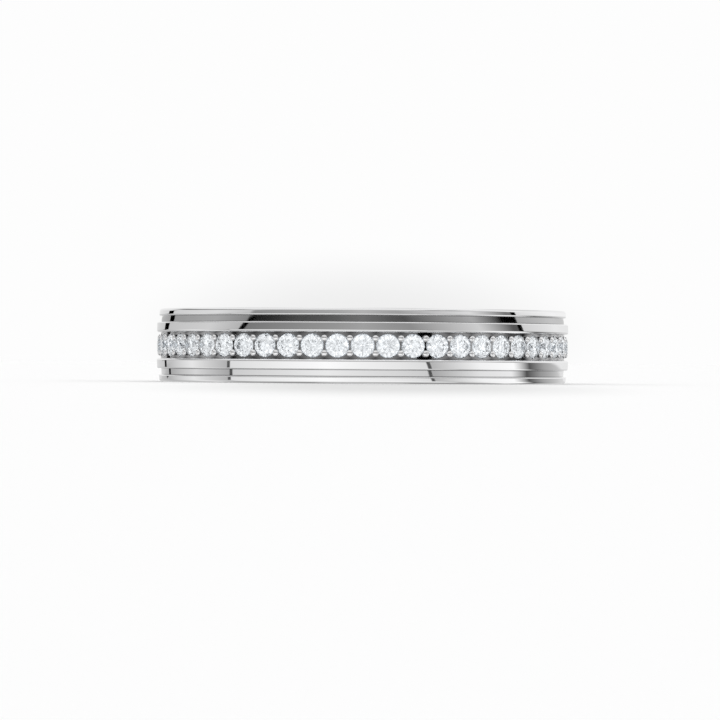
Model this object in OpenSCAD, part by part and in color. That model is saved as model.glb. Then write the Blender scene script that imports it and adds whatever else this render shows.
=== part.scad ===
// Stepped eternity band, lying on its side.
// A polished ring with a stone-set channel between two raised rails, and outside each rail a groove
// and a lower rim. Round brilliants run all the way round the channel, and two small beads stand in
// each gap between them.
// The axis of the ring is Z and the ring rests on z = 0. One stone is centred towards -Y.
// All sizes are in millimetres and all angles in degrees.

/* [Finger] */
// Diameter of the finger hole
finger_d = 17.35; // [15:0.05:22]
// Rounding where the finger hole meets each side
finger_round = 0.16; // [0.05:0.01:0.3]

/* [Band] */
// Thickness from the finger hole to the top of the crown
band_t = 1.575; // [1.3:0.005:2.2]
// Radius of the slight crown across the width
crown_r = 20; // [12:1:60]
// Width of each raised rail beside the stones
rail_w = 0.495; // [0.3:0.005:1]
// Width of each groove outside a rail
groove_w = 0.32; // [0.15:0.005:0.8]
// Width of each outer rim
rim_w = 0.35; // [0.25:0.005:0.8]
// Depth of the grooves below the crown
groove_depth = 0.2; // [0.08:0.01:0.35]
// How far the rims lie below the crown
rim_drop = 0.07; // [0:0.01:0.15]
// Small bevel along every polished edge
edge_bevel = 0.05; // [0.02:0.005:0.07]
// Rounding of the outer corner of each rim
rim_round = 0.14; // [0.05:0.01:0.2]

/* [Stones] */
// Diameter of each stone at its girdle
stone_d = 1.1; // [0.9:0.01:1.4]
// Least clear gap between two neighbouring stones
stone_gap = 0.105; // [0.1:0.005:0.3]
// Gap between a stone and the rail beside it
rail_gap = 0.095; // [0.05:0.005:0.3]
// How far the tables lie below the crown
table_drop = 0.03; // [0:0.01:0.2]
// Diameter of the table as a share of the girdle
table_share = 0.57; // [0.5:0.01:0.65]
// Height of the crown of a stone as a share of the girdle
crown_share = 0.15; // [0.1:0.005:0.18]
// Thickness of the girdle as a share of its diameter
girdle_share = 0.03; // [0.02:0.005:0.05]
// Depth of the pavilion as a share of the girdle
pavilion_share = 0.43; // [0.4:0.005:0.46]
// Reach of the star facets from the table towards the girdle
star_share = 0.55; // [0.45:0.01:0.6]
// Reach of the lower halves from the girdle towards the culet
half_share = 0.77; // [0.7:0.01:0.85]
// Turn of each stone about its own axis from one to the next
stone_turn = 17; // [0:1:45]

/* [Seats] */
// Gap round a stone in its seat
seat_gap = 0.03; // [0.02:0.005:0.04]
// Diameter of the hole drilled through behind each stone
pilot_d = 0.3; // [0.2:0.01:0.7]

/* [Beads] */
// Diameter of the head of each bead
bead_d = 0.28; // [0.22:0.005:0.34]
// Diameter of the stem of each bead
stem_d = 0.22; // [0.16:0.005:0.22]
// Gap between the head of a bead and a girdle
bead_gap = 0.015; // [0.01:0.005:0.05]
// How far the beads lie below the crown
bead_drop = 0.05; // [0:0.01:0.15]

/* [Hidden] */

// Facets round the ring, round a small hole or bead, and along a rounded corner
ring_fn = 240;
small_fn = 32;
corner_steps = 5;
// How far a cutter runs past the face that it opens, and a stem into what it stands on
run_past = 0.1;

// A stone in its own frame has its axis along Z and the top of its girdle at z = 0
stone_r = stone_d / 2;
crown_h = crown_share * stone_d;
girdle_h = girdle_share * stone_d;
pavilion_h = pavilion_share * stone_d;
mains = 8;
half_turn = 180 / mains;

// Widths, measured from the middle plane of the band
channel_half = stone_r + rail_gap;
rail_half = channel_half + rail_w;
groove_half = rail_half + groove_w;
band_half = groove_half + rim_w;

// Radii from the axis of the ring
finger_r = finger_d / 2;
crown_top = finger_r + band_t;
girdle_top = crown_top - table_drop - crown_h;
girdle_low = girdle_top - girdle_h;
floor_r = girdle_top - girdle_h / 2;

// As many stones as the girdle circle holds
stone_count = floor(2 * PI * girdle_low / (stone_d + stone_gap));
stone_step = 360 / stone_count;
first_stone = -90;

// A bead stands midway between two stones, as close to both girdles as its gap lets it
bead_r = bead_d / 2;
bead_level = crown_top - bead_drop - bead_r;
half_pitch = girdle_top * tan(stone_step / 2);
bead_out = sqrt(pow(stone_r + bead_gap + bead_r, 2) - pow(half_pitch, 2));

// Radius of the crown surface at height h from the middle plane
function crown(h) = crown_top - crown_r + sqrt(crown_r * crown_r - h * h);

// Points along a rounded corner of radius r about centre c, from angle a0 to angle a1
function corner(c, r, a0, a1) =
    [for (i = [0:corner_steps]) let (a = a0 + (a1 - a0) * i / corner_steps) c + r * [cos(a), sin(a)]];

// Upper half of the outer profile as [radius, height from the middle plane], from channel to side
half_outline = concat(
    [
        [floor_r, 0],
        [floor_r, channel_half],
        [crown(channel_half) - edge_bevel, channel_half],
        [crown(channel_half + edge_bevel), channel_half + edge_bevel],
        [crown(rail_half - edge_bevel), rail_half - edge_bevel],
        [crown(rail_half) - edge_bevel, rail_half],
        [crown(rail_half) - groove_depth, rail_half],
        [crown(groove_half) - groove_depth, groove_half],
        [crown(groove_half) - rim_drop - edge_bevel, groove_half],
        [crown(groove_half + edge_bevel) - rim_drop, groove_half + edge_bevel]
    ],
    corner([crown(band_half - rim_round) - rim_drop - rim_round, band_half - rim_round], rim_round, 0, 90),
    corner([finger_r + finger_round, band_half - finger_round], finger_round, 90, 180)
);

// Puts its children at angle a round the ring and radius r, with their own Z pointing outwards
module on_ring(a, r) {
    rotate([0, 0, a]) translate([r, 0, band_half]) rotate([0, 90, 0]) children();
}

// Solid ring: the upper half of the outline and its mirror image, turned about Z
module ring_blank() {
    lower = [for (i = [len(half_outline) - 1:-1:1]) [half_outline[i][0], -half_outline[i][1]]];
    translate([0, 0, band_half])
        rotate_extrude($fn = ring_fn) polygon(concat(half_outline, lower));
}

// Seat of one stone: a recess for the girdle, a cone under the pavilion and a hole to the finger
module seat() {
    seat_r = stone_r + seat_gap;
    pilot_r = pilot_d / 2;
    cone_h = (seat_r - pilot_r) * pavilion_h / stone_r;
    rotate_extrude($fn = small_fn) polygon([
        [0, finger_r - girdle_low - run_past],
        [pilot_r, finger_r - girdle_low - run_past],
        [pilot_r, -cone_h],
        [seat_r, 0],
        [seat_r, girdle_h + run_past],
        [0, girdle_h + run_past]
    ]);
}

// One bead: a short stem in the channel floor and a round head
module bead() {
    sphere(r = bead_r, $fn = small_fn);
    stem_h = bead_level - floor_r + run_past;
    translate([0, 0, -stem_h]) cylinder(d = stem_d, h = stem_h, $fn = small_fn);
}

module band() {
    color([0.86, 0.86, 0.87]) union() {
        difference() {
            ring_blank();
            for (i = [0:stone_count - 1]) on_ring(first_stone + i * stone_step, girdle_low) seat();
        }
        for (i = [0:stone_count - 1], side = [-1, 1])
            on_ring(first_stone + (i + 0.5) * stone_step, bead_level)
                translate([side * bead_out, 0, 0]) bead();
    }
}

// Point at radius r, angle a and height z, in the frame of a stone
function at(r, a, z) = [r * cos(a), r * sin(a), z];

// Round brilliant: table, 8 stars, 8 bezels, 16 upper halves, girdle, 16 lower halves, 8 mains
module brilliant() {
    table_r = table_share * stone_r;
    table_mid = table_r * cos(half_turn);
    star_r = table_mid + star_share * (stone_r - table_mid);
    star_z = crown_h * (stone_r - star_r * cos(half_turn)) / (stone_r - table_r);
    low_r = (1 - half_share) * stone_r;
    low_z = -girdle_h - pavilion_h * (stone_r - low_r * cos(half_turn)) / stone_r;
    // Where each ring of points starts in the list
    stars = mains;
    top_girdle = 2 * mains;
    low_girdle = 4 * mains;
    lows = 6 * mains;
    culet = 7 * mains;
    points = concat(
        [for (k = [0:mains - 1]) at(table_r, 2 * k * half_turn, crown_h)],
        [for (k = [0:mains - 1]) at(star_r, (2 * k + 1) * half_turn, star_z)],
        [for (k = [0:2 * mains - 1]) at(stone_r, k * half_turn, 0)],
        [for (k = [0:2 * mains - 1]) at(stone_r, k * half_turn, -girdle_h)],
        [for (k = [0:mains - 1]) at(low_r, (2 * k + 1) * half_turn, low_z)],
        [[0, 0, -girdle_h - pavilion_h]]
    );
    // Faces of main k, with n the next main, b the one before and g its place on the girdle
    faces = concat(
        [[for (k = [mains - 1:-1:0]) k]],
        [for (k = [0:mains - 1]) let (n = (k + 1) % mains, b = (k + mains - 1) % mains,
                                      g = 2 * k, m = g + 1, e = (g + 2) % (2 * mains)) each [
            [k, n, stars + k],
            [k, stars + k, top_girdle + g, stars + b],
            [stars + k, top_girdle + m, top_girdle + g],
            [stars + k, top_girdle + e, top_girdle + m],
            [top_girdle + g, top_girdle + m, low_girdle + m, low_girdle + g],
            [top_girdle + m, top_girdle + e, low_girdle + e, low_girdle + m],
            [low_girdle + g, low_girdle + m, lows + k],
            [low_girdle + m, low_girdle + e, lows + k],
            [low_girdle + g, lows + k, culet, lows + b]
        ]]
    );
    polyhedron(points = points, faces = faces);
}

module stones() {
    color([0.9, 0.93, 0.95])
        for (i = [0:stone_count - 1])
            on_ring(first_stone + i * stone_step, girdle_top)
                rotate([0, 0, i * stone_turn]) brilliant();
}

band();
stones();
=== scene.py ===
import math

import bmesh
import bpy
import numpy as np
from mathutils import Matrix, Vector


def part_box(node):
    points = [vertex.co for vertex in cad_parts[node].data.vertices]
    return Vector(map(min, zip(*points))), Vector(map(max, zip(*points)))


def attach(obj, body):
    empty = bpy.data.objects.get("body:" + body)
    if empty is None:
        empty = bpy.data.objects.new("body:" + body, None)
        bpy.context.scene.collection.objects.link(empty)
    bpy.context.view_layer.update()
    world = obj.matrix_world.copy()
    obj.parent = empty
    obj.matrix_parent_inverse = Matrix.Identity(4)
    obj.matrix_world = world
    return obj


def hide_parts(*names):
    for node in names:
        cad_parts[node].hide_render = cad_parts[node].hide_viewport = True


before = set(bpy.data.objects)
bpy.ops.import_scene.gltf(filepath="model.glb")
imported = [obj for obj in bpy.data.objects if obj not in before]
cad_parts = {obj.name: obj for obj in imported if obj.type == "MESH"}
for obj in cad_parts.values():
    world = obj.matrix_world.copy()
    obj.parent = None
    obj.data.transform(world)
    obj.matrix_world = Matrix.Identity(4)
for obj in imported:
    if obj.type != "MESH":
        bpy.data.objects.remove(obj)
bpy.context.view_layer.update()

mm = 0.001  # the sizes below are in millimetres, and Blender works in metres
bandLow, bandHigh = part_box("band")
bandHalf = (bandHigh.z - bandLow.z) / 2 / mm
print("frame: band", [round(s / mm, 3) for s in bandHigh - bandLow])


# Mesh helpers

# Vertices and quads of a grid of points, rows by columns; round says that the last column meets the first
def sheet(points, round=False):
    rows, columns = points.shape[:2]
    index = np.arange(rows * columns).reshape(rows, columns)
    right = np.roll(index, -1, axis=1)
    if not round:
        index, right = index[:, :-1], right[:, :-1]
    quads = np.stack([index[:-1], right[:-1], right[1:], index[1:]], axis=-1)
    return points.reshape(-1, 3), quads.reshape(-1, 4)


# One mesh object from several sheets, whose seams and poles are merged and whose faces point outwards
def makePiece(name, sheets, material, sharpDegrees):
    starts = np.cumsum([0] + [len(points) for points, _ in sheets[:-1]])
    points = np.concatenate([points for points, _ in sheets]) * mm
    quads = np.concatenate([part[1] + start for part, start in zip(sheets, starts)])
    mesh = bpy.data.meshes.new(name)
    mesh.from_pydata(points, [], quads)
    work = bmesh.new()
    work.from_mesh(mesh)
    bmesh.ops.remove_doubles(work, verts=work.verts, dist=mergeDistance)
    bmesh.ops.dissolve_degenerate(work, edges=work.edges, dist=mergeDistance)
    bmesh.ops.recalc_face_normals(work, faces=work.faces)
    openEdges = sum(1 for edge in work.edges if len(edge.link_faces) != 2)
    work.to_mesh(mesh)
    work.free()
    mesh.shade_smooth()
    mesh.set_sharp_from_angle(angle=math.radians(sharpDegrees))
    mesh.materials.append(material)
    piece = bpy.data.objects.new(name, mesh)
    bpy.context.scene.collection.objects.link(piece)
    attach(piece, "root")
    print(name, "faces", len(mesh.polygons), "open edges", openEdges)
    return piece


mergeDistance = 1e-7  # metres


# Materials

# A new node material, with its nodes, links and shader
def newMaterial(name):
    material = bpy.data.materials.new(name)
    material.use_nodes = True
    nodes = material.node_tree.nodes
    return material, nodes, material.node_tree.links, nodes["Principled BSDF"]


# One math step on numbers or sockets
def mathNode(nodes, links, operation, *values):
    node = nodes.new("ShaderNodeMath")
    node.operation = operation
    for socket, value in zip(node.inputs, values):
        if isinstance(value, (int, float)):
            socket.default_value = value
        else:
            links.new(value, socket)
    return node.outputs[0]


goldLook = {
    "color": (0.88, 0.88, 0.885, 1),
    "paintedRecessShade": (0.12, 0.12, 0.125, 1),  # painted shade down in the grooves and the channel
    "smooth": 0.02,  # roughness where the polish is best
    "hazy": 0.045,  # and where it is worn
    "recessHaze": 0.05,  # added in the grooves and the channel
    "hazeScale": 700,  # patches in a metre
    "hazeSpan": (0.35, 0.7),  # of the noise, over which the polish goes from best to worn
    "lineStretch": (60, 60, 26000),  # polishing lines run round the ring, so they change fast along its axis
    "lineDetail": 3,
    "lineBump": 0.012,
    "lineDepth": 1e-5,  # metres
}


# Mirror metal, duller and darker where the recess attribute of the piece grows; the darkening is painted
# shade
def whiteGold():
    material, nodes, links, shader = newMaterial("whiteGold")
    shader.inputs["Metallic"].default_value = 1
    where = nodes.new("ShaderNodeTexCoord")
    recess = nodes.new("ShaderNodeAttribute")
    recess.attribute_name = "recess"
    # Painted shade: the base colour goes towards the dark recess tone as the recess attribute grows
    tint = nodes.new("ShaderNodeMix")
    tint.data_type = "RGBA"
    tint.inputs["A"].default_value = goldLook["color"]
    tint.inputs["B"].default_value = goldLook["paintedRecessShade"]
    links.new(recess.outputs["Fac"], tint.inputs["Factor"])
    links.new(tint.outputs["Result"], shader.inputs["Base Color"])

    haze = nodes.new("ShaderNodeTexNoise")
    haze.inputs["Scale"].default_value = goldLook["hazeScale"]
    links.new(where.outputs["Object"], haze.inputs["Vector"])
    spread = nodes.new("ShaderNodeMapRange")
    spread.inputs["From Min"].default_value = goldLook["hazeSpan"][0]
    spread.inputs["From Max"].default_value = goldLook["hazeSpan"][1]
    spread.inputs["To Min"].default_value = goldLook["smooth"]
    spread.inputs["To Max"].default_value = goldLook["hazy"]
    links.new(haze.outputs["Fac"], spread.inputs["Value"])
    deeper = mathNode(nodes, links, "MULTIPLY", recess.outputs["Fac"], goldLook["recessHaze"])
    rough = mathNode(nodes, links, "ADD", spread.outputs["Result"], deeper)
    links.new(rough, shader.inputs["Roughness"])

    stretch = nodes.new("ShaderNodeMapping")
    stretch.inputs["Scale"].default_value = goldLook["lineStretch"]
    links.new(where.outputs["Object"], stretch.inputs["Vector"])
    lines = nodes.new("ShaderNodeTexNoise")
    lines.inputs["Scale"].default_value = 1
    lines.inputs["Detail"].default_value = goldLook["lineDetail"]
    links.new(stretch.outputs["Vector"], lines.inputs["Vector"])
    bump = nodes.new("ShaderNodeBump")
    bump.inputs["Strength"].default_value = goldLook["lineBump"]
    bump.inputs["Distance"].default_value = goldLook["lineDepth"]
    links.new(lines.outputs["Fac"], bump.inputs["Height"])
    links.new(bump.outputs["Normal"], shader.inputs["Normal"])
    return material


diamondLook = {
    "color": (0.935, 0.97, 1, 1),
    "ior": 2.417,
}


def diamond():
    material, nodes, links, shader = newMaterial("diamond")
    shader.inputs["Base Color"].default_value = diamondLook["color"]
    shader.inputs["IOR"].default_value = diamondLook["ior"]
    shader.inputs["Transmission Weight"].default_value = 1
    shader.inputs["Roughness"].default_value = 0
    return material


goldMaterial = whiteGold()
diamondMaterial = diamond()
print("materials made")


# Band

band = {
    "fingerRadius": 8.675,
    "crownTop": 10.25,  # radius of the crown in the middle of the band
    "crownRadius": 20,
    "fingerRound": 0.16,
    "channelHalf": 0.645,
    "railWidth": 0.495,
    "grooveWidth": 0.32,
    "grooveDepth": 0.2,
    "rimDrop": 0.07,
    "rimRound": 0.14,
    "channelRound": 0.1,  # along the edges beside the stones, which are rubbed down most
    "edgeRound": 0.055,
    "grooveRound": 0.012,  # left by the tool in the corners of the grooves
    "floorRadius": 10.0385,
    "edgeSteps": 4,
    "grooveSteps": 1,
    "cornerSteps": 6,
    "support": 0.012,  # loop beside a rounding, which keeps the face next to it even
    "recessFrom": 0.13,  # depth under the crown where the painted shade and the duller polish start
    "recessTo": 0.185,  # and where both are full
    # how much of the painted recess shade, and of the added haze, the middle of a groove gets, and the
    # channel beside the stones; the corners get all of it, and so does the ground by the beads
    "grooveRecess": 0.18,
    "channelRecess": 0.5,
    "cornerWidth": 0.03,
    "sharpDegrees": 30,
}

setting = {
    "count": 52,
    "firstAngle": -90,
    "stoneRadius": 0.55,
    "seatGap": 0.03,
    "girdleLow": 10.022,  # radius from the axis of the ring
    "pavilionShare": 0.86,  # depth of a pavilion for each unit of its radius
    "pilotRadius": 0.15,
    "wallHalf": 0.6,  # half height of the strip of finger wall that the holes open into
    "stepsAcross": 12,  # along each side of a cell
    "floorRings": 3,
    "wallRings": 3,
}
step = 2 * math.pi / setting["count"]
around = setting["count"] * setting["stepsAcross"]
firstEdge = math.radians(setting["firstAngle"]) - step / 2


# Radius of the crown at height h from the middle plane: a circle of the crown's radius
def crown(h):
    return band["crownTop"] - band["crownRadius"] + np.sqrt(band["crownRadius"] ** 2 - h * h)


# Points of a crowned face, a drop below the crown, for the corner list: evenly spaced from height to height
def crowned(low, high, drop, count):
    return [(crown(h) - drop, h, 0, 0) for h in np.linspace(low, high, count)]


# Profile through corners, each a radius, a height, a rounding and its steps: the corner is cut back by the
# rounding times the tangent of half its turn, and an arc joins the cuts, with a support point on each side
def roundedProfile(corners):
    spots = [np.array(corner[:2], float) for corner in corners]
    profile = [spots[0]]
    for before, here, after, corner in zip(spots, spots[1:], spots[2:], corners[1:]):
        if corner[2] == 0:
            profile.append(here)
            continue
        back = (before - here) / np.linalg.norm(before - here)
        on = (after - here) / np.linalg.norm(after - here)
        half = math.acos(np.clip(back @ on, -1, 1)) / 2
        cut = corner[2] / math.tan(half)
        middle = here + (back + on) / np.linalg.norm(back + on) * corner[2] / math.sin(half)
        start, end = here + back * cut - middle, here + on * cut - middle
        turn = math.pi - 2 * half
        share = np.linspace(0, 1, corner[3] + 1)[:, None]
        arc = (np.sin((1 - share) * turn) * start + np.sin(share * turn) * end) / math.sin(turn)
        profile.append(here + back * (cut + band["support"]))
        profile.extend(middle + arc)
        profile.append(here + on * (cut + band["support"]))
    profile.append(spots[-1])
    return np.array(profile)


# Points of a profile of radius and height turned round the axis
def turned(profile, angles):
    radius, height = profile[:, None, 0], profile[:, None, 1]
    return np.stack(np.broadcast_arrays(
        radius * np.cos(angles), radius * np.sin(angles), height + bandHalf), axis=-1)


# Places round every stone: local angle, height and radius, rows by columns, repeated at each step round
# the ring
def roundEveryStone(angle, height, radius):
    centres = math.radians(setting["firstAngle"]) + step * np.arange(setting["count"])
    whole = centres[:, None, None] + angle[None]
    points = np.stack(np.broadcast_arrays(
        radius * np.cos(whole), radius * np.sin(whole), height + bandHalf), axis=-1)
    return [sheet(cell, round=True) for cell in points]


# Border of a cell, anticlockwise from its lower left corner, as angle and height
def cellBorder(halfHeight):
    share = np.arange(setting["stepsAcross"]) / setting["stepsAcross"] * 2 - 1
    one = np.ones_like(share)
    across = np.concatenate([share, one, -share, -one])
    up = np.concatenate([-one, share, one, -share])
    return across * step / 2, up * halfHeight


# A circle about the stone, as sideways distance and height, with a point for each point of the border, from
# the lower left on
def cellCircle(radius):
    count = 4 * setting["stepsAcross"]
    turns = 2 * math.pi * np.arange(count) / count - 0.75 * math.pi
    return radius * np.cos(turns), radius * np.sin(turns)


# Rings from the border of a cell to a circle in it, both on a cylinder about the axis of the ring: a
# straight blend of angle and height
def cellRings(radius, halfHeight, circleRadius, rings):
    borderAngle, borderUp = cellBorder(halfHeight)
    side, up = cellCircle(circleRadius)
    share = np.linspace(0, 1, rings + 1)[:, None]
    angle = (1 - share) * borderAngle + share * np.arcsin(side / radius)
    height = (1 - share) * borderUp + share * up
    return angle, height, np.full_like(angle, radius)


# Walls of a seat, from the channel floor to the finger hole: circles of these radii, the first and last on
# the cylinders of the floor and the finger wall, the others in planes at these depths
def seatWalls():
    seatRadius, pilotRadius = setting["stoneRadius"] + setting["seatGap"], setting["pilotRadius"]
    coneDepth = (seatRadius - pilotRadius) * setting["pavilionShare"]
    lip = 2 * band["grooveRound"]
    side, up = cellCircle(1)
    radii = np.array([seatRadius, seatRadius, seatRadius - lip, pilotRadius, pilotRadius])
    side, up = radii[:, None] * side, radii[:, None] * up
    out = np.empty_like(side)
    out[0] = np.sqrt(band["floorRadius"] ** 2 - side[0] ** 2)
    out[1] = setting["girdleLow"]
    out[2] = setting["girdleLow"] - lip * setting["pavilionShare"]
    out[3] = setting["girdleLow"] - coneDepth
    out[4] = np.sqrt(band["fingerRadius"] ** 2 - side[4] ** 2)
    return np.arctan2(side, out), up, np.hypot(side, out)


# How much painted shade, and how much duller polish, each point gets, from 0 on the faces and in the seats
# to 1 deep in
# a corner: a share that grows between two depths under the crown, times the share for where it lies in its
# groove or channel, which grows to 1 in the corners. In the channel it also grows with the square of the way
# from a stone to the gap, times the square of the way to the rail
def recessShadeAndHazeOf(points):
    radius = np.hypot(points[:, 0], points[:, 1])
    height = np.abs(points[:, 2] - bandHalf)
    depth = crown(height) - radius
    share = np.clip((depth - band["recessFrom"]) / (band["recessTo"] - band["recessFrom"]), 0, 1)
    railHalf = band["channelHalf"] + band["railWidth"]
    grooveHalf = railHalf + band["grooveWidth"]
    walls = np.abs(height[:, None] - [band["channelHalf"], railHalf, grooveHalf])
    corner = np.clip(1 - walls.min(axis=1) / band["cornerWidth"], 0, 1)
    turn = (np.arctan2(points[:, 1], points[:, 0]) - math.radians(setting["firstAngle"])) / step
    turn = turn - np.round(turn)
    gap = (2 * np.abs(turn) * height / band["channelHalf"]) ** 2
    inGroove = height > railHalf - band["railWidth"] / 2
    least = np.where(inGroove, band["grooveRecess"], band["channelRecess"])
    grown = np.where(inGroove, corner, np.clip(np.maximum(corner, gap), 0, 1))
    inSeat = np.hypot(radius * np.sin(turn * step), height) < setting["stoneRadius"] + setting["seatGap"] / 2
    outside = radius > band["fingerRadius"] + band["grooveRound"]
    inRecess = outside & (height < grooveHalf + band["grooveRound"]) & ~inSeat
    return np.where(inRecess, share * (least + (1 - least) * grown), 0)


# Painted recess shade and haze of every vertex of a piece, for the white gold
def storeRecessShadeAndHaze(piece):
    points = np.empty(3 * len(piece.data.vertices))
    piece.data.vertices.foreach_get("co", points)
    recess = piece.data.attributes.new("recess", "FLOAT", "POINT")
    recess.data.foreach_set("value", recessShadeAndHazeOf(points.reshape(-1, 3) / mm))


# The upper profile turned round the axis, the same mirrored below, and between them a floor, a seat and a
# strip of finger wall for every stone
def makeBand():
    channelHalf = band["channelHalf"]
    railHalf = channelHalf + band["railWidth"]
    grooveHalf = railHalf + band["grooveWidth"]
    edge, edgeSteps = band["edgeRound"], band["edgeSteps"]
    deep, deepSteps = band["grooveRound"], band["grooveSteps"]
    corners = [
        (band["floorRadius"], channelHalf, 0, 0),
        (crown(channelHalf), channelHalf, band["channelRound"], edgeSteps + 2),
        *crowned(channelHalf + 1.4 * band["channelRound"], railHalf - 2 * edge, 0, 4),
        (crown(railHalf), railHalf, edge, edgeSteps),
        (crown(railHalf) - band["grooveDepth"], railHalf, deep, deepSteps),
        *crowned(railHalf + edge, grooveHalf - edge, band["grooveDepth"], 3),
        (crown(grooveHalf) - band["grooveDepth"], grooveHalf, deep, deepSteps),
        (crown(grooveHalf) - band["rimDrop"], grooveHalf, edge, edgeSteps),
        *crowned(grooveHalf + 1.5 * edge, bandHalf - band["rimRound"] - edge / 2, band["rimDrop"], 2),
        (crown(bandHalf) - band["rimDrop"], bandHalf, band["rimRound"], band["cornerSteps"]),
        (band["fingerRadius"], bandHalf, band["fingerRound"], band["cornerSteps"]),
        (band["fingerRadius"], setting["wallHalf"], 0, 0),
    ]
    upper = roundedProfile(corners)
    angles = firstEdge + 2 * math.pi * np.arange(around) / around
    sheets = [sheet(turned(upper, angles), round=True), sheet(turned(upper * [1, -1], angles), round=True)]
    seatRadius = setting["stoneRadius"] + setting["seatGap"]
    sheets += roundEveryStone(*cellRings(
        band["floorRadius"], channelHalf, seatRadius, setting["floorRings"]))
    sheets += roundEveryStone(*seatWalls())
    sheets += roundEveryStone(*cellRings(
        band["fingerRadius"], setting["wallHalf"], setting["pilotRadius"], setting["wallRings"]))
    piece = makePiece("polishedBand", sheets, goldMaterial, band["sharpDegrees"])
    storeRecessShadeAndHaze(piece)
    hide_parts("band")


# Beads

beads = {
    "headRadius": 0.16,
    "domeHeight": 0.09,  # a cup tool presses each head a little flat
    "underHeight": 0.1,
    "stemRadius": 0.11,
    "level": 10.115,  # radius of the widest part of each head from the axis of the ring
    "out": 0.361,  # from the middle plane of the band
    "footDepth": 0.09,  # how far the stem runs into the channel floor
    "columns": 24,
    "domeRows": 7,
    "underRows": 4,
    "sharpDegrees": 40,
}


# Profile of a bead as radius and height about the widest part of its head: a quarter of an ellipse up to the
# top, and under it another one down to where it meets the stem
def beadProfile():
    top = np.linspace(0, math.pi / 2, beads["domeRows"])[:, None]
    dome = np.hstack([beads["headRadius"] * np.sin(top), beads["domeHeight"] * np.cos(top)])
    neck = math.acos(beads["stemRadius"] / beads["headRadius"])
    low = np.linspace(0, neck, beads["underRows"])[1:, None]
    under = np.hstack([beads["headRadius"] * np.cos(low), -beads["underHeight"] * np.sin(low)])
    foot = band["floorRadius"] - beads["footDepth"] - beads["level"]
    stem = np.array([[beads["stemRadius"], foot], [0, foot]])
    return np.concatenate([dome, under, stem])


# The profile turned about a line out from the axis, twice in each gap between two stones
def makeBeads():
    profile = beadProfile()
    turns = 2 * math.pi * np.arange(beads["columns"]) / beads["columns"]
    radius, height = profile[:, None, 0], profile[:, None, 1]
    outward = np.broadcast_to(height, (len(profile), len(turns))) + beads["level"]
    sideways, up = radius * np.cos(turns), radius * np.sin(turns)
    places = math.radians(setting["firstAngle"]) + step * (np.arange(setting["count"]) + 0.5)
    sheets = []
    for side in (-1, 1):
        for place in places:
            points = np.stack([
                outward * math.cos(place) - sideways * math.sin(place),
                outward * math.sin(place) + sideways * math.cos(place),
                up + side * beads["out"] + bandHalf,
            ], axis=-1)
            sheets.append(sheet(points, round=True))
    piece = makePiece("beads", sheets, goldMaterial, beads["sharpDegrees"])
    storeRecessShadeAndHaze(piece)
    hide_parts("band")


makeBand()
makeBeads()

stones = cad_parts["stones"]
stones.data.materials.clear()
stones.data.materials.append(diamondMaterial)


# Studio

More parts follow.
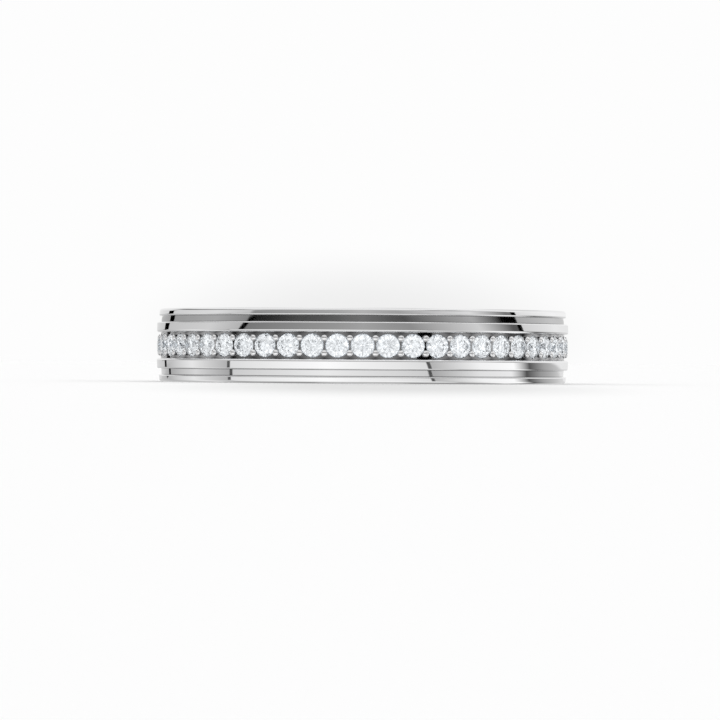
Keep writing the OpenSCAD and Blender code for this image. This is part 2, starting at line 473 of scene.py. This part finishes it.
studio = {
    "floorSize": 3,  # metres
    "floorTone": 0.93,
    "floorRoughness": 0.8,
    "backTone": 0.983,  # what the camera sees behind the ring
    "paperLight": 1.107,  # light on the floor paper
    # painted soft shade in the floor's colour round the foot of the ring, which runs towards the camera, and
    # the painted shade that the camera sees on the wall behind: middle and half sizes, in metres on the
    # floor and as a direction behind, least share of the tone, and how far out that reaches
    "floorShade": ((0.001, -0.03, 0), (0.0115, 0.06, 1), 0.785, 0.2),
    "backShade": ((0.0012, 1, 0.006), (0.063, 0.06, 0.023), 0.88, 0.3),
    "stoneLight": (0.645, 1.18),  # least and most light that comes back out of the stones
    "stoneSides": 0.3,  # how much more of it there is at both sides
    "stoneRight": 0.1,  # and how much more again at the right, and less at the left
    "stonePatches": 3.5,  # patches of it across one unit of direction
    "stoneSpan": (0.4, 0.6),  # of the noise, from the least light to the most
    "ceiling": (0.66, 1.12),  # tones of the gaps between its lamps and of the lamps, which run together
    "ceilingSweeps": 2.6,  # how close the lamps hang
    "ground": 1,
    "mat": 0.33,  # darker part of the ground round the ring, which the lower edges show as a line
    # heights in degrees above the horizon, where one part of the room gives way to the next
    "wallTop": (15, 17),
    "ceilingFrom": (27, 30),
    "matFrom": (-47, -44),
    "matTo": (-78, -75),
    "underTo": (-1.9, -1.5),
    # the walls above the horizon have three shelves, whose edges sink towards the back of the room like the
    # tilt at which the ring's faces see them
    "eyeTilt": 0.3,
    "middleFrom": (6.65, 6.8),
    "highFrom": (8.8, 8.9),
    # tones of the soft panels round the room in whole tenths, each at its degrees to the right of the
    # camera: grey at the left, dim in front, a black gap at the right and a bright panel beyond it
    "wall": [
        (-180, 0.8), (-140, 0.6), (-100, 0.7), (-78, 0.5), (-77, 0.2), (0, 0.4), (35, 0.3), (75, 0.7),
        (98, 0.1), (103, 0.1), (104, 0.7), (140, 0.9),
    ],
    "middleChange": -0.2,  # the middle shelf is dimmer than the wall under it
    "highChange": 0.1,  # and the high one is brighter
    # and below the horizon
    "under": [
        (-180, 0.7), (-140, 0.5), (-110, 0.9), (-81, 0.5), (-80, 0.8), (-20, 1.1), (33, 0.8), (34, 0.5),
        (65, 1), (90, 1.1), (104, 0.1), (120, 0.4), (150, 0.7),
    ],
    # dark band between the walls and the ceiling, which the upper edges show as a line
    "valance": [
        (-180, 0.9), (-150, 0.9), (-130, 0.1), (-75, 0.2), (-66, 0.5), (30, 0.45), (42, 0.02), (56, 0.02),
        (62, 0.5), (75, 0.95),
    ],
    "lean": 1.5,  # degrees that the panels lean towards the camera for each degree above the horizon
    "leanTurn": (-15, 15),  # where the lean changes sides
    "underLean": 0.8,  # the same below the horizon, on the right alone
    "underLeanFrom": (0, 20),
    # black cards: azimuth at the horizon, half width, middle height, half height, lean and tone
    "cards": [
        (-146, 3.3, 3, 4, 2, 0),
        (-78, 1.8, 3, 4, 1.8, 0),
        (104, 1.8, 4, 5, -1.5, 0),
        (35, 4.4, 0, 2.5, 0, 0),
        (-144, 1.8, -1.7, 1.2, 0, 0),
        (-79, 1.1, -5, 3, 0.2, 0.1),
        (33, 1.1, -6.5, 3.5, -0.8, 0.1),
    ],
    "cardSides": 0.3,  # soft edges of the cards, in degrees
    "cardEnds": 0.1,
    "bounces": 24,
}


# A ramp of panel tones round the wall, read at an angle between -180 and 180 degrees
def panelRamp(nodes, links, angle, panels):
    ramp = nodes.new("ShaderNodeValToRGB")
    stops = ramp.color_ramp.elements
    stops[0].position, stops[1].position = 0, 1
    for where, tone in panels[1:]:
        stops.new((where + 180) / 360)
    for stop, (where, tone) in zip(stops, panels + [(180, panels[0][1])]):
        stop.color = (tone, tone, tone, 1)
    fromBack = mathNode(nodes, links, "ADD", angle, 180)
    links.new(mathNode(nodes, links, "DIVIDE", fromBack, 360), ramp.inputs["Fac"])
    return ramp.outputs["Color"]


# A share that rises from 0 to 1 while a value goes through a span
def spanShare(nodes, links, value, span):
    share = nodes.new("ShaderNodeMapRange")
    share.inputs["From Min"].default_value, share.inputs["From Max"].default_value = span
    links.new(value, share.inputs["Value"])
    return share.outputs["Result"]


# A blend of two greys or sockets by a factor
def toneMix(nodes, links, factor, first, second):
    mix = nodes.new("ShaderNodeMix")
    mix.data_type = "RGBA"
    links.new(factor, mix.inputs["Factor"])
    for socket, tone in ((mix.inputs["A"], first), (mix.inputs["B"], second)):
        if isinstance(tone, (int, float)):
            socket.default_value = (tone, tone, tone, 1)
        else:
            links.new(tone, socket)
    return mix.outputs["Result"]


# Painted shade: a tone that sinks softly towards the middle of a patch, its least share out to a share of
# the patch's half sizes, and all of it at its edge
def softShade(nodes, links, place, patch, tone):
    middle, halves, least, core = patch
    scaled = nodes.new("ShaderNodeMapping")
    scaled.vector_type = "TEXTURE"
    scaled.inputs["Location"].default_value = middle
    scaled.inputs["Scale"].default_value = halves
    links.new(place, scaled.inputs["Vector"])
    reach = nodes.new("ShaderNodeVectorMath")
    reach.operation = "LENGTH"
    links.new(scaled.outputs["Vector"], reach.inputs[0])
    shade = nodes.new("ShaderNodeMapRange")
    shade.interpolation_type = "SMOOTHSTEP"
    shade.inputs["From Min"].default_value, shade.inputs["From Max"].default_value = core, 1
    shade.inputs["To Min"].default_value, shade.inputs["To Max"].default_value = least * tone, tone
    links.new(reach.outputs["Value"], shade.inputs["Value"])
    return shade.outputs["Result"]


# The room by direction: every part covers the ones before it above or below its height, and stones, floor
# and camera each see their own light
def makeWorld():
    world = bpy.data.worlds.new("studio")
    bpy.context.scene.world = world
    world.use_nodes = True
    nodes, links = world.node_tree.nodes, world.node_tree.links
    where = nodes.new("ShaderNodeTexCoord")
    parts = nodes.new("ShaderNodeSeparateXYZ")
    links.new(where.outputs["Generated"], parts.inputs[0])

    def calc(operation, *values):
        return mathNode(nodes, links, operation, *values)

    towards = calc("MULTIPLY", parts.outputs["Y"], -1)
    azimuth = calc("DEGREES", calc("ARCTAN2", parts.outputs["X"], towards))
    elevation = calc("DEGREES", calc("ARCSINE", parts.outputs["Z"]))
    backwards = calc("COSINE", calc("RADIANS", calc("DIVIDE", azimuth, 2)))
    tilt = calc("DIVIDE", calc("SUBTRACT", elevation, studio["eyeTilt"]), backwards)
    side = calc("SUBTRACT", calc("MULTIPLY", spanShare(nodes, links, azimuth, studio["leanTurn"]), 2), 1)
    lean = calc("MULTIPLY", calc("MULTIPLY", calc("MAXIMUM", elevation, 0), studio["lean"]), side)
    right = spanShare(nodes, links, azimuth, studio["underLeanFrom"])
    underLean = calc("MULTIPLY", calc("MULTIPLY", elevation, studio["underLean"]), right)

    def layer(room, heightAt, span, tone):
        return toneMix(nodes, links, spanShare(nodes, links, heightAt, span), room, tone)

    leaning = calc("ADD", azimuth, lean)
    wall = panelRamp(nodes, links, leaning, studio["wall"])
    dimmer = calc("MAXIMUM", calc("ADD", wall, studio["middleChange"]), 0)
    brighter = calc("ADD", wall, studio["highChange"])
    room = layer(wall, tilt, studio["middleFrom"], dimmer)
    room = layer(room, tilt, studio["highFrom"], brighter)
    under = panelRamp(nodes, links, calc("ADD", azimuth, underLean), studio["under"])
    room = layer(under, elevation, studio["underTo"], room)
    soft, softEnd = studio["cardSides"], studio["cardEnds"]
    for start, halfWidth, middle, halfHeight, cardLean, tone in studio["cards"]:
        centre = calc("ADD", calc("MULTIPLY", elevation, cardLean), start)
        across = calc("ABSOLUTE", calc("SUBTRACT", azimuth, centre))
        up = calc("ABSOLUTE", calc("SUBTRACT", elevation, middle))
        between = spanShare(nodes, links, across, (halfWidth + soft, halfWidth - soft))
        level = spanShare(nodes, links, up, (halfHeight + softEnd, halfHeight - softEnd))
        room = toneMix(nodes, links, calc("MULTIPLY", between, level), room, tone)
    room = layer(room, elevation, studio["wallTop"], panelRamp(nodes, links, azimuth, studio["valance"]))
    sweep = nodes.new("ShaderNodeTexWave")
    sweep.bands_direction = "DIAGONAL"
    sweep.inputs["Scale"].default_value = studio["ceilingSweeps"]
    links.new(where.outputs["Generated"], sweep.inputs["Vector"])
    ceiling = toneMix(nodes, links, sweep.outputs["Fac"], *studio["ceiling"])
    room = layer(room, elevation, studio["ceilingFrom"], ceiling)
    room = layer(studio["mat"], elevation, studio["matFrom"], room)
    room = layer(studio["ground"], elevation, studio["matTo"], room)
    patches = nodes.new("ShaderNodeTexNoise")
    patches.inputs["Scale"].default_value = studio["stonePatches"]
    patches.inputs["Detail"].default_value = 0
    links.new(where.outputs["Generated"], patches.inputs["Vector"])
    patch = spanShare(nodes, links, patches.outputs["Fac"], studio["stoneSpan"])
    glint = toneMix(nodes, links, patch, *studio["stoneLight"])
    more = calc("MULTIPLY", calc("ABSOLUTE", parts.outputs["X"]), studio["stoneSides"])
    more = calc("ADD", more, calc("MULTIPLY", parts.outputs["X"], studio["stoneRight"]))
    glint = calc("MULTIPLY", glint, calc("ADD", more, 1))
    seen = nodes.new("ShaderNodeLightPath")
    room = toneMix(nodes, links, seen.outputs["Is Transmission Ray"], room, glint)
    room = toneMix(nodes, links, seen.outputs["Is Diffuse Ray"], room, studio["paperLight"])
    # painted shade on the backdrop round the ring, seen by camera rays alone
    back = softShade(nodes, links, where.outputs["Generated"], studio["backShade"], studio["backTone"])
    room = toneMix(nodes, links, seen.outputs["Is Camera Ray"], room, back)
    links.new(room, nodes["Background"].inputs["Color"])


def makeFloor():
    half = studio["floorSize"] / 2
    corners = [(-half, -half, 0), (half, -half, 0), (half, half, 0), (-half, half, 0)]
    mesh = bpy.data.meshes.new("floor")
    mesh.from_pydata(corners, [], [(0, 1, 2, 3)])
    material, nodes, links, shader = newMaterial("floorPaper")
    place = nodes.new("ShaderNodeTexCoord").outputs["Object"]
    # painted shade in the floor's base colour round the foot of the ring
    shade = softShade(nodes, links, place, studio["floorShade"], studio["floorTone"])
    links.new(shade, shader.inputs["Base Color"])
    shader.inputs["Roughness"].default_value = studio["floorRoughness"]
    shader.inputs["Specular IOR Level"].default_value = 0  # matt also where it is seen at a low angle
    mesh.materials.append(material)
    floor = bpy.data.objects.new("floor", mesh)
    bpy.context.scene.collection.objects.link(floor)
    floor.visible_glossy = False
    floor.visible_transmission = False


camera = {
    "distance": 205,  # from the axis of the ring
    "lens": 205.6,  # millimetres, and so is the sensor
    "left": 0.1226,  # of the axis
    "low": 0.678,  # under the middle plane of the band
    "roll": 0.38,  # degrees, which lowers the right side in the picture
    "sensor": 36,
    "clip": (0.005, 10),  # metres
}


def makeCamera():
    data = bpy.data.cameras.new("camera")
    data.lens = camera["lens"]
    data.sensor_width = camera["sensor"]
    data.clip_start, data.clip_end = camera["clip"]
    eye = bpy.data.objects.new("camera", data)
    bpy.context.scene.collection.objects.link(eye)
    eye.location = (-camera["left"] * mm, -camera["distance"] * mm, (bandHalf - camera["low"]) * mm)
    eye.rotation_euler = (math.radians(90), math.radians(-camera["roll"]), 0)
    bpy.context.scene.camera = eye


makeWorld()
makeFloor()
makeCamera()
bpy.context.scene.view_settings.view_transform = "Standard"
bpy.context.scene.cycles.glossy_bounces = studio["bounces"]  # light turns back and forth in a stone
bpy.context.scene.cycles.transmission_bounces = studio["bounces"]
bpy.context.scene.cycles.max_bounces = studio["bounces"]
print("studio made")
